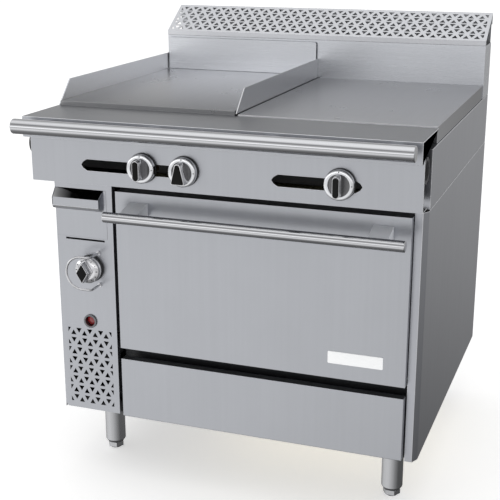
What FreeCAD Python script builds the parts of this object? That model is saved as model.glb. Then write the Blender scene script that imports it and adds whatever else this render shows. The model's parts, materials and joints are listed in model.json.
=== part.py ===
import FreeCAD, Part
import os
import re

import Sketcher

# A 36 inch heavy-duty gas range: griddle on the left, hot top on the right, oven below.
# Millimetres, +Z up, the front faces -Y, +X is to the right of a person facing the range.
# The origin is on the floor, in the middle of the range's width and depth.

doc = FreeCAD.newDocument("GasRange")

# ---------------------------------------------------------------- driving sizes
driving_sizes = {
    # the whole range
    "range_width": 914,
    "range_depth": 975,
    "range_height": 1104,
    "working_height": 919,
    "sheet": 1.5,
    "body_bottom": 172,
    "side_seam": 753,
    "upper_side_top": 885,
    "rear_gap": 1.5,
    # how far each front face lies behind the front of the belly bar
    "ledge_setback": 62,
    "panel_setback": 90,
    "door_setback": 125,
    "body_setback": 145,
    "upper_side_setback": 171,
    "top_setback": 229.5,
    # front ledge and belly bar
    "ledge_depth": 166,
    "ledge_flange": 47,
    "ledge_lip": 15,
    "bar_diameter": 34,
    "bar_height": 904,
    "bar_length": 904,
    "post_width": 26,
    "post_height": 12,
    # control panel
    "panel_bottom": 766,
    "panel_top": 905,
    "panel_inset": 2,
    "panel_flange": 42,
    "slot_height": 811,
    "slot_half": 13,
    "slot_point": 14.5,
    "slot_shoulder": 4.5,
    "left_slot_start": -326.5,
    "left_slot_end": -46,
    "right_slot_start": 129,
    "right_slot_end": 328.5,
    # top knobs
    "knob_height": 815,
    "griddle_valve_x": -172,
    "griddle_thermostat_x": -72,
    "hot_top_valve_x": 282,
    "bezel_radius": 34,
    "bezel_bore": 22,
    "bezel_depth": 6,
    "knob_gap": 0.4,
    "skirt_radius": 33,
    "skirt_depth": 12,
    "skirt_rim": 3,
    "dish_radius": 25.5,
    "grip_length": 46,
    "grip_width": 15,
    "grip_depth": 23,
    "inlay_depth": 0.8,
    "stem_radius": 4,
    # griddle and hot top
    "griddle_top": 930,
    "griddle_thickness": 25,
    "griddle_left": -453,
    "griddle_right": -6,
    "splash_top": 975,
    "splash_nose": 919,
    "splash_slope": 55,
    "divider_thickness": 3,
    "divider_x": -5,
    "back_splash_top": 1020,
    "back_splash_gap": 8,
    "back_splash_round": 5,
    "hot_top_height": 922,
    "hot_top_thickness": 14,
    "hot_top_skirt": 10,
    "hot_top_left": 0.5,
    "hot_top_right": 455,
    "key_slot_x": 225,
    "key_slot_y": -225,
    "key_slot_length": 13,
    "key_slot_width": 8,
    "box_bottom": 772,
    "box_half_width": 443,
    # backguard and cap
    "backguard_depth": 98,
    "backguard_top": 1026,
    "rear_panel_top": 1096,
    "lip_top": 1039,
    "cap_overhang": 1.5,
    "cap_rear_flange": 30,
    "cap_pitch": 29.3,
    "cap_row": 21.6,
    "cap_hole": 0.56,
    "cap_margin": 9,
    # lower body
    "side_return": 20,
    "right_stile_inner": 430.3,
    "right_stile_outer": 448,
    "right_bevel": 19.5,
    "left_front_x": -432,
    "left_bevel": 62,
    "frame_front_inset": 16,
    # oven
    "oven_centre": 83.5,
    "oven_opening_width": 636,
    "oven_opening_bottom": 395,
    "oven_opening_top": 727,
    "front_frame_setback": 177.5,
    "front_frame_thickness": 5,
    "cavity_bottom": 232,
    "cavity_depth": 610,
    "insulation": 24,
    "deck_height": 384,
    "rack_wire": 6,
    "lower_rack_height": 470,
    "upper_rack_height": 590,
    "flue_bottom": 560,
    "flue_width": 300,
    "throat_height": 80,
    # door
    "door_width": 691,
    "door_bottom": 359.5,
    "door_top": 745.5,
    "door_thickness": 44,
    "gasket_thickness": 7,
    "hinge_height": 371,
    "hinge_setback": 154.5,
    "hinge_pin_radius": 5,
    "hinge_play": 0.05,
    "hinge_pin_reach": 10,
    "handle_diameter": 25,
    "handle_height": 700,
    "handle_standoff": 60,
    "handle_length": 692,
    "bracket_width": 44,
    "bracket_inset": 60,
    "badge_width": 126,
    "badge_height": 29,
    "badge_left": 252.5,
    "badge_bottom": 395.5,
    # kick panel
    "kick_bottom": 181.5,
    "kick_top": 332,
    "kick_flange": 22,
    # service panel
    "service_left": -430,
    "service_right": -281,
    "service_bottom": 174.5,
    "service_return": 14,
    "cover_right": -296,
    "cover_bottom": 621,
    "cover_top": 722,
    "cover_bend": 697,
    "cover_recess_top": 739,
    "cover_bulge": 24,
    "cover_slot_left": -407,
    "cover_slot_right": -304,
    "cover_slot_height": 4.5,
    "vent_left": -414,
    "vent_right": -296,
    "vent_bottom": 187,
    "vent_pitch": 29.5,
    "vent_row": 25.5,
    "vent_rows": 8,
    "vent_hole": 0.49,
    # oven thermostat knob, its guard and the pilot button
    "oven_knob_x": -343,
    "oven_knob_z": 546,
    "oven_bezel_depth": 7,
    "oven_dial_radius": 31.5,
    "oven_dial_depth": 18,
    "diamond_width": 30,
    "diamond_height": 46,
    "diamond_depth": 24,
    "guard_wire": 5.5,
    "guard_radius": 39.75,
    "guard_leg_x": -321,
    "guard_reach": 45,
    "button_x": -351,
    "button_z": 410,
    "button_radius": 12,
    "button_play": 0.4,
    "button_bezel_radius": 17,
    "button_recess": 4,
    "button_length": 34,
    "button_travel": 5,
    # gas train
    "manifold_height": 849,
    "manifold_setback": 124,
    "manifold_proud": 6,
    "pipe_radius": 20.5,
    "pipe_bore": 17,
    "coupling_radius": 28.5,
    "coupling_length": 44,
    "coupling_socket": 16,
    "socket_radius": 21.1,
    # legs and feet
    "leg_x": 374,
    "front_leg_y": -191.5,
    "rear_leg_y": 400,
    "leg_radius": 26,
    "leg_bottom": 17,
    "leg_taper": 8,
    "foot_across_corners": 43,
    "foot_height": 16.7,
    "foot_stem": 10,
    "foot_play": 0.05,
}

sheet = doc.addObject("Spreadsheet::Sheet", "Sizes")
for row, (alias, value) in enumerate(driving_sizes.items(), start=1):
    sheet.set(f"A{row}", alias)
    sheet.set(f"B{row}", str(value))
    sheet.setAlias(f"B{row}", alias)
doc.recompute()

# Places worked out from the driving sizes, written as expressions.
half = "range_width / 2"
front = "-range_depth / 2"
back = "(range_depth / 2 - rear_gap)"
ledge_front = f"({front} + ledge_setback)"
panel_front = f"({front} + panel_setback)"
door_front = f"({front} + door_setback)"
body_front = f"({front} + body_setback)"
upper_front = f"({front} + upper_side_setback)"
top_front = f"({front} + top_setback)"
frame_front = f"({front} + front_frame_setback)"
backguard_front = f"({back} - backguard_depth)"
back_splash_front = f"({backguard_front} - back_splash_gap)"
manifold_y = f"({front} + manifold_setback)"
hinge_y = f"({front} + hinge_setback)"
bar_y = f"({front} + bar_diameter / 2)"
opening_left = "(oven_centre - oven_opening_width / 2)"
opening_right = "(oven_centre + oven_opening_width / 2)"
door_left = "(oven_centre - door_width / 2)"
door_right = "(oven_centre + door_width / 2)"
door_back = f"({door_front} + door_thickness)"
cavity_back = f"({frame_front} + front_frame_thickness + cavity_depth)"
handle_y = f"({door_front} - handle_standoff)"


def formula(text):
    """Turn the short names into references to the sheet."""
    return re.sub(r"[a-z_]+[a-z0-9_]*", lambda found: "Sizes." + found.group(0), str(text))


def size(text):
    """Value of a short expression, for shapes made by Part's own functions."""
    return float(sheet.evalExpression(formula(text)))


def place(item, x=0, y=0, z=0):
    for axis, value in zip("xyz", (x, y, z)):
        item.setExpression(f"Placement.Base.{axis}", formula(value))


def box(low, high, name="Block"):
    """A block between two corners."""
    item = doc.addObject("Part::Box", name)
    for side, start, end in zip(("Length", "Width", "Height"), low, high):
        item.setExpression(side, formula(f"({end}) - ({start})"))
    place(item, *low)
    return item


turns = {
    "X": FreeCAD.Rotation(FreeCAD.Vector(0, 1, 0), 90),
    "Y": FreeCAD.Rotation(FreeCAD.Vector(1, 0, 0), -90),
    "Z": FreeCAD.Rotation(),
}


def cylinder(axis, radius, length, x, y, z, name="Round"):
    """A cylinder that starts at a point and runs along +X, +Y or +Z."""
    item = doc.addObject("Part::Cylinder", name)
    item.setExpression("Radius", formula(radius))
    item.setExpression("Height", formula(length))
    item.Placement = FreeCAD.Placement(FreeCAD.Vector(), turns[axis])
    place(item, x, y, z)
    return item


def cone(axis, start_radius, end_radius, length, x, y, z):
    item = doc.addObject("Part::Cone", "Taper")
    item.setExpression("Radius1", formula(start_radius))
    item.setExpression("Radius2", formula(end_radius))
    item.setExpression("Height", formula(length))
    item.Placement = FreeCAD.Placement(FreeCAD.Vector(), turns[axis])
    place(item, x, y, z)
    return item


def fuse(*pieces):
    item = doc.addObject("Part::MultiFuse", "Joined")
    item.Shapes = list(pieces)
    return item


def cut(base, *tools):
    item = doc.addObject("Part::Cut", "Trimmed")
    item.Base = base
    item.Tool = tools[0] if len(tools) == 1 else fuse(*tools)
    return item


def group(*pieces):
    """Separate solids that share one node."""
    item = doc.addObject("Part::Compound", "Group")
    item.Links = list(pieces)
    return item


def ring(axis, outer, bore, length, x, y, z):
    return cut(cylinder(axis, outer, length, x, y, z), cylinder(axis, bore, length, x, y, z))


def padded(plane, outline, start, length, name="Plate"):
    """Pad a closed outline: XY pads towards +Z, XZ towards -Y and YZ towards +X."""
    body = doc.addObject("PartDesign::Body", name)
    sketch = body.newObject("Sketcher::SketchObject", name + "Sketch")
    roles = {feature.Role: feature for feature in body.Origin.OriginFeatures}
    sketch.AttachmentSupport = [(roles[plane + "_Plane"], "")]
    sketch.MapMode = "FlatFace"
    sketch.setExpression("AttachmentOffset.Base.z", formula(start))
    points = [FreeCAD.Vector(size(x), size(y), 0) for x, y in outline]
    for index, point in enumerate(points):
        sketch.addGeometry(Part.LineSegment(point, points[(index + 1) % len(points)]))
    for index in range(len(points)):
        sketch.addConstraint(Sketcher.Constraint("Coincident", index, 2, (index + 1) % len(points), 1))
    for index, (x, y) in enumerate(outline):
        for direction, value in (("DistanceX", x), ("DistanceY", y)):
            number = sketch.addConstraint(Sketcher.Constraint(direction, -1, 1, index, 1, size(value)))
            sketch.setExpression(f"Constraints[{number}]", formula(value))
    pad = body.newObject("PartDesign::Pad", name + "Pad")
    pad.Profile = sketch
    pad.setExpression("Length", formula(length))
    body.Tip = pad
    return body


def shaped(shape):
    """A document object for a shape made by Part's own functions."""
    item = doc.addObject("Part::Feature", "Shaped")
    item.Shape = shape
    return item


nodes = {}


def node(label, item):
    item.Label = label
    nodes[label] = item


def triangle_holes(width, height, pitch, row_height, fill):
    """Rows of up and down triangles that fill a field from (0, 0), clipped at its edges."""
    field = Part.makePlane(width, height)
    holes = []
    rows = round(height / row_height)
    lean = 0.11 * row_height    # each hole sits towards its flat side
    for row in range(rows):
        middle = (row + 0.5) * row_height
        offset = (row % 2) * pitch / 2
        count = int(width / pitch) + 3
        for step in range(-1, count):
            for up, centre in ((True, offset + step * pitch), (False, offset + (step + 0.5) * pitch)):
                direction = 1 if up else -1
                level = middle - direction * lean
                rise = direction * row_height * fill / 2
                run = pitch * fill / 2
                corners = [
                    FreeCAD.Vector(centre - run, level - rise, 0),
                    FreeCAD.Vector(centre + run, level - rise, 0),
                    FreeCAD.Vector(centre, level + rise, 0),
                ]
                if corners[0].x > width or corners[1].x < 0:
                    continue
                hole = Part.Face(Part.makePolygon(corners + corners[:1]))
                if corners[0].x < 0 or corners[1].x > width:
                    clipped = hole.common(field)
                    holes += [face for face in clipped.Faces if face.Area > pitch]
                else:
                    holes.append(hole)
    return holes


def perforated(width, height, thickness, holes, outline=None):
    """A flat plate from (0, 0, 0) along +X, +Y and +Z, with holes through it."""
    plate = outline or Part.makePlane(width, height)
    inner = [hole.OuterWire for hole in holes]
    pierced = Part.makeFace([plate.OuterWire] + inner, "Part::FaceMakerBullseye")
    return pierced.extrude(FreeCAD.Vector(0, 0, thickness))


# ---------------------------------------------------------------- base frame, legs and feet
def base_frame():
    low = ("left_front_x + 4", f"{body_front} + frame_front_inset", "body_bottom + 0.5")
    high = (f"{half} - 8", f"{back} - 2 * sheet - 1", "body_bottom + 28")
    rail = 3
    flange = 40
    walls = box((f"{low[0]} + {rail}", f"{low[1]} + {rail}", f"{low[2]} + {rail}"),
                (f"{high[0]} - {rail}", f"{high[1]} - {rail}", f"{high[2]} + 5"))
    well = box((f"{low[0]} + {flange}", f"{low[1]} + {flange}", f"{low[2]} - 5"),
               (f"{high[0]} - {flange}", f"{high[1]} - {flange}", high[2]))
    angle_ring = cut(box(low, high), walls, well)
    cross_members = []
    studs = []
    for leg_y in ("front_leg_y", "rear_leg_y"):
        cross_members.append(box((f"{low[0]} + 1", f"{leg_y} - 45", low[2]),
                                 (f"{high[0]} - 1", f"{leg_y} + 45", f"{low[2]} + 5")))
        for side in ("-leg_x", "leg_x"):
            studs.append(cylinder("Z", 8.1, 30, side, leg_y, "body_bottom - 10"))
    node("base_frame", cut(fuse(angle_ring, *cross_members), *studs))


def legs_and_feet():
    tubes = []
    corners = (("front_left", "-leg_x", "front_leg_y"), ("front_right", "leg_x", "front_leg_y"),
               ("rear_left", "-leg_x", "rear_leg_y"), ("rear_right", "leg_x", "rear_leg_y"))
    for corner, x, y in corners:
        tube = fuse(
            cylinder("Z", "leg_radius", "body_bottom + 0.5 - leg_bottom - leg_taper", x, y,
                     "leg_bottom + leg_taper"),
            cone("Z", "leg_radius - 5.5", "leg_radius", "leg_taper", x, y, "leg_bottom"),
            cylinder("Z", 8, 18, x, y, "body_bottom"),
        )
        tubes.append(cut(tube, cylinder("Z", "foot_stem + foot_play", 110, x, y, "leg_bottom - 5")))
        hexagon = doc.addObject("Part::Prism", "Hexagon")
        hexagon.Polygon = 6
        hexagon.setExpression("Circumradius", formula("foot_across_corners / 2"))
        hexagon.setExpression("Height", formula("foot_height - 4"))
        place(hexagon, x, y, 4)
        foot = fuse(
            cone("Z", 14.5, 17, 4, x, y, 0),
            hexagon,
            cylinder("Z", "foot_stem", 90, x, y, "foot_height - 2"),
        )
        node(f"foot_{corner}", foot)
    node("legs", group(*tubes))


# ---------------------------------------------------------------- sheet metal of the body
def lower_sides():
    height = "side_seam - body_bottom"
    right_bevel_y = f"({body_front} + right_bevel)"
    right = [
        (f"{half} - side_return", back), (half, back), (half, right_bevel_y),
        ("right_stile_outer", body_front), ("right_stile_inner", body_front),
        ("right_stile_inner", f"{body_front} + sheet"),
        ("right_stile_outer - 0.6 * sheet", f"{body_front} + sheet"),
        (f"{half} - sheet", f"{right_bevel_y} + 0.4 * sheet"),
        (f"{half} - sheet", f"{back} - sheet"), (f"{half} - side_return", f"{back} - sheet"),
    ]
    node("body_side_right", padded("XY", right, "body_bottom", height))
    left_bevel_y = f"({body_front} + left_bevel)"
    left_nose = f"({body_front} + 1.2 * sheet)"
    left = [
        (f"-{half} + side_return", back), (f"-{half}", back), (f"-{half}", left_bevel_y),
        ("left_front_x", left_nose), ("left_front_x + sheet", f"{left_nose} + 0.3 * sheet"),
        (f"-{half} + sheet", f"{left_bevel_y} + 0.3 * sheet"),
        (f"-{half} + sheet", f"{back} - sheet"), (f"-{half} + side_return", f"{back} - sheet"),
    ]
    node("body_side_left", padded("XY", left, "body_bottom", height))


def upper_sides():
    for label, sign in (("upper_side_left", "-"), ("upper_side_right", "")):
        outer = f"{sign}({half})"
        inner = f"{sign}({half} - sheet)"
        front_return = f"{sign}({half} - 15)"
        rear_return = f"{sign}({half} - side_return)"
        outline = [
            (rear_return, back), (outer, back), (outer, upper_front), (front_return, upper_front),
            (front_return, f"{upper_front} + sheet"), (inner, f"{upper_front} + sheet"),
            (inner, f"{back} - sheet"), (rear_return, f"{back} - sheet"),
        ]
        wall = padded("XY", outline, "side_seam + 1", "upper_side_top - side_seam - 1")
        edges = (f"-({half}) + 0.2", f"-({half}) + 12") if sign else (f"{half} - 12", f"{half} - 0.2")
        top_return = box((edges[0], f"{upper_front} + 0.2", "upper_side_top - sheet"),
                         (edges[1], f"{backguard_front} - 1", "upper_side_top"))
        node(label, fuse(wall, top_return))


def rear_panel():
    left = f"(-{half} + sheet + 0.5)"
    right = f"({half} - sheet - 0.5)"
    wall = box((left, f"{back} - 2 * sheet", "body_bottom"), (right, f"{back} - sheet", "rear_panel_top"))
    joggle = box((left, f"{back} - 1.5 * sheet", "backguard_top + 4"), (right, back, "rear_panel_top"))
    node("rear_panel", fuse(wall, joggle))


def kick_panel():
    left = "(oven_centre - door_width / 2)"
    right = "(oven_centre + door_width / 2 - 1)"
    shell = box((left, door_front, "kick_bottom"), (right, f"{door_front} + kick_flange", "kick_top"))
    hollow = box((f"{left} + sheet", f"{door_front} + sheet", "kick_bottom + sheet"),
                 (f"{right} - sheet", f"{door_front} + kick_flange + 1", "kick_top - sheet"))
    node("kick_panel", cut(shell, hollow))


# ---------------------------------------------------------------- front ledge and belly bar
def front_rail():
    ledge_back = f"({ledge_front} + ledge_depth)"
    top = "working_height"
    low = "working_height - ledge_flange"
    plate = box((f"-{half}", ledge_front, f"{top} - sheet"), (half, ledge_back, top))
    flange = box((f"-{half}", ledge_front, low), (half, f"{ledge_front} + sheet", top))
    lip = box((f"-{half}", ledge_front, low), (half, f"{ledge_front} + ledge_lip", f"{low} + sheet"))
    node("front_ledge", fuse(plate, flange, lip))

    node("belly_bar", cylinder("X", "bar_diameter / 2", "bar_length",
                               "-bar_length / 2", bar_y, "bar_height"))
    posts = []
    for x in (-400, -135, 135, 400):
        block = box((f"{x} - post_width / 2", f"{bar_y} + 5", "bar_height - post_height / 2"),
                    (f"{x} + post_width / 2", ledge_front, "bar_height + post_height / 2"))
        bore = cylinder("X", "bar_diameter / 2", "post_width + 10", f"{x} - post_width / 2 - 5",
                        bar_y, "bar_height")
        posts.append(cut(block, bore))
    node("belly_bar_posts", group(*posts))


# ---------------------------------------------------------------- control panel, valves and knobs
knobs = {
    "griddle_valve": "griddle_valve_x",
    "griddle_thermostat": "griddle_thermostat_x",
    "hot_top_valve": "hot_top_valve_x",
}


def control_panel():
    left = f"(-{half} + panel_inset)"
    right = f"{half}"
    face = box((left, panel_front, "panel_bottom"), (right, f"{panel_front} + sheet", "panel_top"))
    flange = box((left, panel_front, "panel_bottom"),
                 (right, f"{panel_front} + panel_flange", "panel_bottom + sheet"))
    slots = []
    for start, end in (("left_slot_start", "left_slot_end"), ("right_slot_start", "right_slot_end")):
        outline = [
            (start, "slot_height"), (f"{start} + slot_shoulder", "slot_height - 0.52 * slot_half"),
            (f"{start} + slot_point", "slot_height - slot_half"),
            (f"{end} - slot_point", "slot_height - slot_half"),
            (f"{end} - slot_shoulder", "slot_height - 0.52 * slot_half"), (end, "slot_height"),
            (f"{end} - slot_shoulder", "slot_height + 0.52 * slot_half"),
            (f"{end} - slot_point", "slot_height + slot_half"),
            (f"{start} + slot_point", "slot_height + slot_half"),
            (f"{start} + slot_shoulder", "slot_height + 0.52 * slot_half"),
        ]
        slots.append(padded("XZ", outline, f"-({panel_front} + 10)", 20))
    node("control_panel", cut(fuse(face, flange), *slots))


def gas_train():
    ends = (f"(-{half} - manifold_proud)", f"({half} - 2)")
    length = f"({ends[1]} - ({ends[0]}) - 2 * coupling_socket)"
    pipe = ring("X", "pipe_radius", "pipe_bore", length,
                f"{ends[0]} + coupling_socket", manifold_y, "manifold_height")
    cap = cut(
        cylinder("X", "coupling_radius", "coupling_length", ends[0], manifold_y, "manifold_height"),
        cylinder("X", "pipe_radius", "coupling_length", f"{ends[0]} + coupling_socket", manifold_y,
                 "manifold_height"),
    )
    coupling_start = f"{ends[1]} - coupling_length"
    coupling = cut(
        cylinder("X", "coupling_radius", "coupling_length", coupling_start, manifold_y,
                 "manifold_height"),
        cylinder("X", "pipe_radius", "coupling_length - 5", f"{coupling_start} - 5", manifold_y,
                 "manifold_height"),
        cylinder("X", "socket_radius", "coupling_socket + 5", f"{ends[1]} - coupling_socket",
                 manifold_y, "manifold_height"),
    )
    node("gas_manifold", group(pipe, cap, coupling))

    valves = []
    nipple_bottom = "knob_height + 13"
    for x in knobs.values():
        casing = box((f"{x} - 16", f"{panel_front} + 8", "knob_height - 14"),
                     (f"{x} + 16", f"{manifold_y} + 16", nipple_bottom))
        nipple = cylinder("Z", 8, "manifold_height - knob_height - 13", x, manifold_y, nipple_bottom)
        outlet = cylinder("Y", 6, 30, x, f"{manifold_y} + 10", "knob_height")
        stem_bore = cylinder("Y", "stem_radius + 0.1", 22, x, f"{panel_front} + 4", "knob_height")
        pipe_wall = cylinder("X", "pipe_radius", 80, f"{x} - 40", manifold_y, "manifold_height")
        valves.append(cut(fuse(casing, nipple, outlet), stem_bore, pipe_wall))
    node("top_gas_valves", group(*valves))


def top_knobs():
    bezels = []
    bezel_front = f"({panel_front} - bezel_depth)"
    for name, x in knobs.items():
        bezels.append(ring("Y", "bezel_radius", "bezel_bore", "bezel_depth", x, bezel_front,
                           "knob_height"))
        skirt_back = f"({bezel_front} - knob_gap)"
        skirt_front = f"({skirt_back} - skirt_depth)"
        disc = fuse(
            cylinder("Y", "skirt_radius", "skirt_depth - skirt_rim", x, f"{skirt_front} + skirt_rim",
                     "knob_height"),
            cone("Y", "skirt_radius - 5", "skirt_radius", "skirt_rim", x, skirt_front, "knob_height"),
        )
        dish = cylinder("Y", "dish_radius", "skirt_rim + 1", x, f"{skirt_front} - 1", "knob_height")
        grip_front = f"({skirt_front} - grip_depth)"
        grip = grip_block(name, x, grip_front, skirt_front)
        stem = cylinder("Y", "stem_radius", 24, x, f"{skirt_back} - 2", "knob_height")
        inlay = inlay_block(name, x, grip_front)
        pocket = inlay_block(name, x, grip_front)
        node(f"{name}_knob", cut(fuse(cut(disc, dish), grip, stem), pocket))
        node(f"{name}_knob_inlay", inlay)
    oven_y = f"({body_front} - oven_bezel_depth)"
    bezels.append(ring("Y", "bezel_radius - 1", "bezel_bore", "oven_bezel_depth", "oven_knob_x",
                       oven_y, "oven_knob_z"))
    node("knob_bezels", group(*bezels))


def wedge(x, y, z, top_width, bottom_width, height, depth):
    """A trapezoid prism around (x, z) that runs from y along +Y."""
    outline = [
        (f"{x} - ({bottom_width}) / 2", f"{z} - ({height}) / 2"),
        (f"{x} + ({bottom_width}) / 2", f"{z} - ({height}) / 2"),
        (f"{x} + ({top_width}) / 2", f"{z} + ({height}) / 2"),
        (f"{x} - ({top_width}) / 2", f"{z} + ({height}) / 2"),
    ]
    return padded("XZ", outline, f"-({y} + {depth})", depth)


def capsule(x, y, z, width, height, depth):
    """A block with round top and bottom ends around (x, z) that runs from y along +Y."""
    straight = f"({height} - {width}) / 2"
    return fuse(
        box((f"{x} - {width} / 2", y, f"{z} - {straight}"),
            (f"{x} + {width} / 2", f"{y} + {depth}", f"{z} + {straight}")),
        cylinder("Y", f"{width} / 2", depth, x, y, f"{z} - {straight}"),
        cylinder("Y", f"{width} / 2", depth, x, y, f"{z} + {straight}"),
    )


def grip_block(name, x, grip_front, skirt_front):
    depth = "(grip_depth + skirt_rim + 1)"
    if name == "griddle_thermostat":
        return wedge(x, grip_front, "knob_height", 14, 30, "grip_length", depth)
    return capsule(x, grip_front, "knob_height", "grip_width", "grip_length", depth)


def inlay_block(name, x, grip_front):
    if name == "griddle_thermostat":
        return wedge(x, grip_front, "knob_height", 9, 25, "(grip_length - 4)", "inlay_depth")
    return capsule(x, grip_front, "knob_height", "(grip_width - 3)", "(grip_length - 3)",
                   "inlay_depth")


# ---------------------------------------------------------------- cooking tops
def griddle():
    node("griddle_plate", box(("griddle_left", f"{top_front} + 0.5", "griddle_top - griddle_thickness"),
                              ("griddle_right", f"{back_splash_front} - 0.5", "griddle_top")))
    slope_end = f"({top_front} + splash_slope)"
    rear = f"({backguard_front} - 1)"
    side = [
        (top_front, "upper_side_top + 2"), (rear, "upper_side_top + 2"), (rear, "splash_top"),
        (slope_end, "splash_top"), (top_front, "splash_nose"),
    ]
    node("griddle_splash_left", padded("YZ", side, f"-{half}", "2 * sheet"))
    divider = [
        (top_front, "hot_top_height + 0.5"), (rear, "hot_top_height + 0.5"), (rear, "splash_top"),
        (slope_end, "splash_top"),
    ]
    node("griddle_splash_right", padded("YZ", divider, "divider_x", "divider_thickness"))
    right = "divider_x - 1"
    left = f"(-{half} + 6)"
    corner = "back_splash_round"
    outline = [
        (left, "griddle_top + 0.5"), (right, "griddle_top + 0.5"),
        (right, f"back_splash_top - {corner}"),
        (f"{right} - 0.3 * {corner}", f"back_splash_top - 0.3 * {corner}"),
        (f"{right} - {corner}", "back_splash_top"), (left, "back_splash_top"),
    ]
    node("griddle_back_splash", padded("XZ", outline, f"-({back_splash_front} + sheet)", "sheet"))


def hot_top():
    low = ("hot_top_left", top_front, "upper_side_top + 0.5")
    high = ("hot_top_right", f"{backguard_front} - 1", "hot_top_height")
    hollow = box((f"{low[0]} + hot_top_skirt", f"{low[1]} + hot_top_skirt", f"{low[2]} - 5"),
                 (f"{high[0]} - hot_top_skirt", f"{high[1]} - hot_top_skirt",
                  f"{high[2]} - hot_top_thickness"))
    slot = box(("key_slot_x - key_slot_length / 2", "key_slot_y - key_slot_width / 2",
                "hot_top_height - hot_top_thickness - 5"),
               ("key_slot_x + key_slot_length / 2", "key_slot_y + key_slot_width / 2",
                "hot_top_height + 5"))
    ribs = []
    for share in (0.25, 0.5, 0.75):
        x = f"(hot_top_left + {share} * (hot_top_right - hot_top_left))"
        ribs.append(box((f"{x} - 5", f"{low[1]} + 60", f"{high[2]} - hot_top_thickness - 10"),
                        (f"{x} + 5", f"{high[1]} - 5", f"{high[2]} - 4")))
    node("hot_top_plate", cut(fuse(cut(box(low, high), hollow), *ribs), slot))


def burner_box():
    low = ("-box_half_width", f"{top_front} + 1", "box_bottom")
    high = ("box_half_width", f"{backguard_front} - 1", "upper_side_top - 0.3")
    wall = 2
    well = box((f"{low[0]} + {wall}", f"{low[1]} + {wall}", f"{low[2]} + {wall}"),
               (f"{high[0]} - {wall}", f"{high[1]} - {wall}", f"{high[2]} + 5"))
    inlets = [cylinder("Y", 9, 20, x, f"{top_front} - 5", "knob_height") for x in knobs.values()]
    rails = []
    for start, end in ((low[0], f"{low[0]} + 8"), ("griddle_right - 10", "griddle_right - 2")):
        rails.append(box((start, f"{low[1]} + 4", "upper_side_top - 8"),
                         (end, f"{high[1]} - 12", "griddle_top - griddle_thickness")))
    bridge = box((f"{low[0]} + 4", f"{high[1]} - 12", "upper_side_top - 8"),
                 ("griddle_right - 2", f"{high[1]} - 9", "griddle_top - griddle_thickness"))
    centre_wall = box(("griddle_right - 7", f"{low[1]} + 1", f"{low[2]} + 1"),
                      ("griddle_right - 5", f"{high[1]} - 1", "upper_side_top - 5"))
    node("burner_box", fuse(cut(box(low, high), well, *inlets), *rails, bridge, centre_wall))


def top_burners():
    tubes = []
    for x in ("griddle_valve_x - 100", "griddle_valve_x + 50", "hot_top_valve_x - 130",
              "hot_top_valve_x + 40"):
        barrel = cylinder("Y", 19, 520, x, f"{top_front} + 40", "knob_height")
        bore = cylinder("Y", 16, 500, x, f"{top_front} + 30", "knob_height")
        port_slot = box((f"{x} - 1.5", f"{top_front} + 90", "knob_height + 10"),
                        (f"{x} + 1.5", f"{top_front} + 530", "knob_height + 25"))
        tubes.append(cut(barrel, bore, port_slot))
    node("top_burners", group(*tubes))


# ---------------------------------------------------------------- backguard
def backguard():
    wide = f"({half})"
    outline = [
        (f"-{wide} + side_return", back), (f"-{wide}", back), (f"-{wide}", backguard_front),
        (wide, backguard_front), (wide, back), (f"{wide} - side_return", back),
        (f"{wide} - side_return", f"{back} - sheet"), (f"{wide} - sheet", f"{back} - sheet"),
        (f"{wide} - sheet", f"{backguard_front} + sheet"),
        (f"-{wide} + sheet", f"{backguard_front} + sheet"),
        (f"-{wide} + sheet", f"{back} - sheet"), (f"-{wide} + side_return", f"{back} - sheet"),
    ]
    height = "backguard_top - upper_side_top - 1"
    node("backguard", padded("XY", outline, "upper_side_top + 1", height))


def backguard_cap():
    width = size("range_width")
    thickness = size("sheet")
    lip_y = size(f"{backguard_front} - cap_overhang")
    rear_y = size("range_depth / 2")
    lip_bottom = size("backguard_top + 0.5")
    lip_top = size("lip_top")
    top = size("range_height")
    margin = size("cap_margin")
    rise = top - lip_top
    run = rear_y - lip_y
    slope = (rise ** 2 + run ** 2) ** 0.5
    field_width = width - 2 * margin
    field_height = 5 * size("cap_row")
    holes = triangle_holes(field_width, field_height, size("cap_pitch"), size("cap_row"),
                           size("cap_hole"))
    shift = FreeCAD.Vector(margin, (slope - field_height) / 2, 0)
    for hole in holes:
        hole.translate(shift)
    grille = perforated(width, slope, thickness, holes)
    tilt = FreeCAD.Rotation(FreeCAD.Vector(1, 0, 0), FreeCAD.Vector(0, run, rise),
                            FreeCAD.Vector(0, -rise, run), "XYZ")
    grille.Placement = FreeCAD.Placement(FreeCAD.Vector(-width / 2, lip_y, lip_top), tilt)
    grille.translate(FreeCAD.Vector(0, 0, -thickness * slope / run))
    lip = Part.makeBox(width, thickness, lip_top - lip_bottom,
                       FreeCAD.Vector(-width / 2, lip_y, lip_bottom))
    rear = Part.makeBox(width, thickness, size("cap_rear_flange"),
                        FreeCAD.Vector(-width / 2, rear_y - thickness, top - size("cap_rear_flange")))
    envelope = Part.makeBox(width, run, top - lip_bottom,
                            FreeCAD.Vector(-width / 2, lip_y, lip_bottom))
    node("backguard_cap", shaped(lip.fuse([grille, rear]).common(envelope).removeSplitter()))


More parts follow.
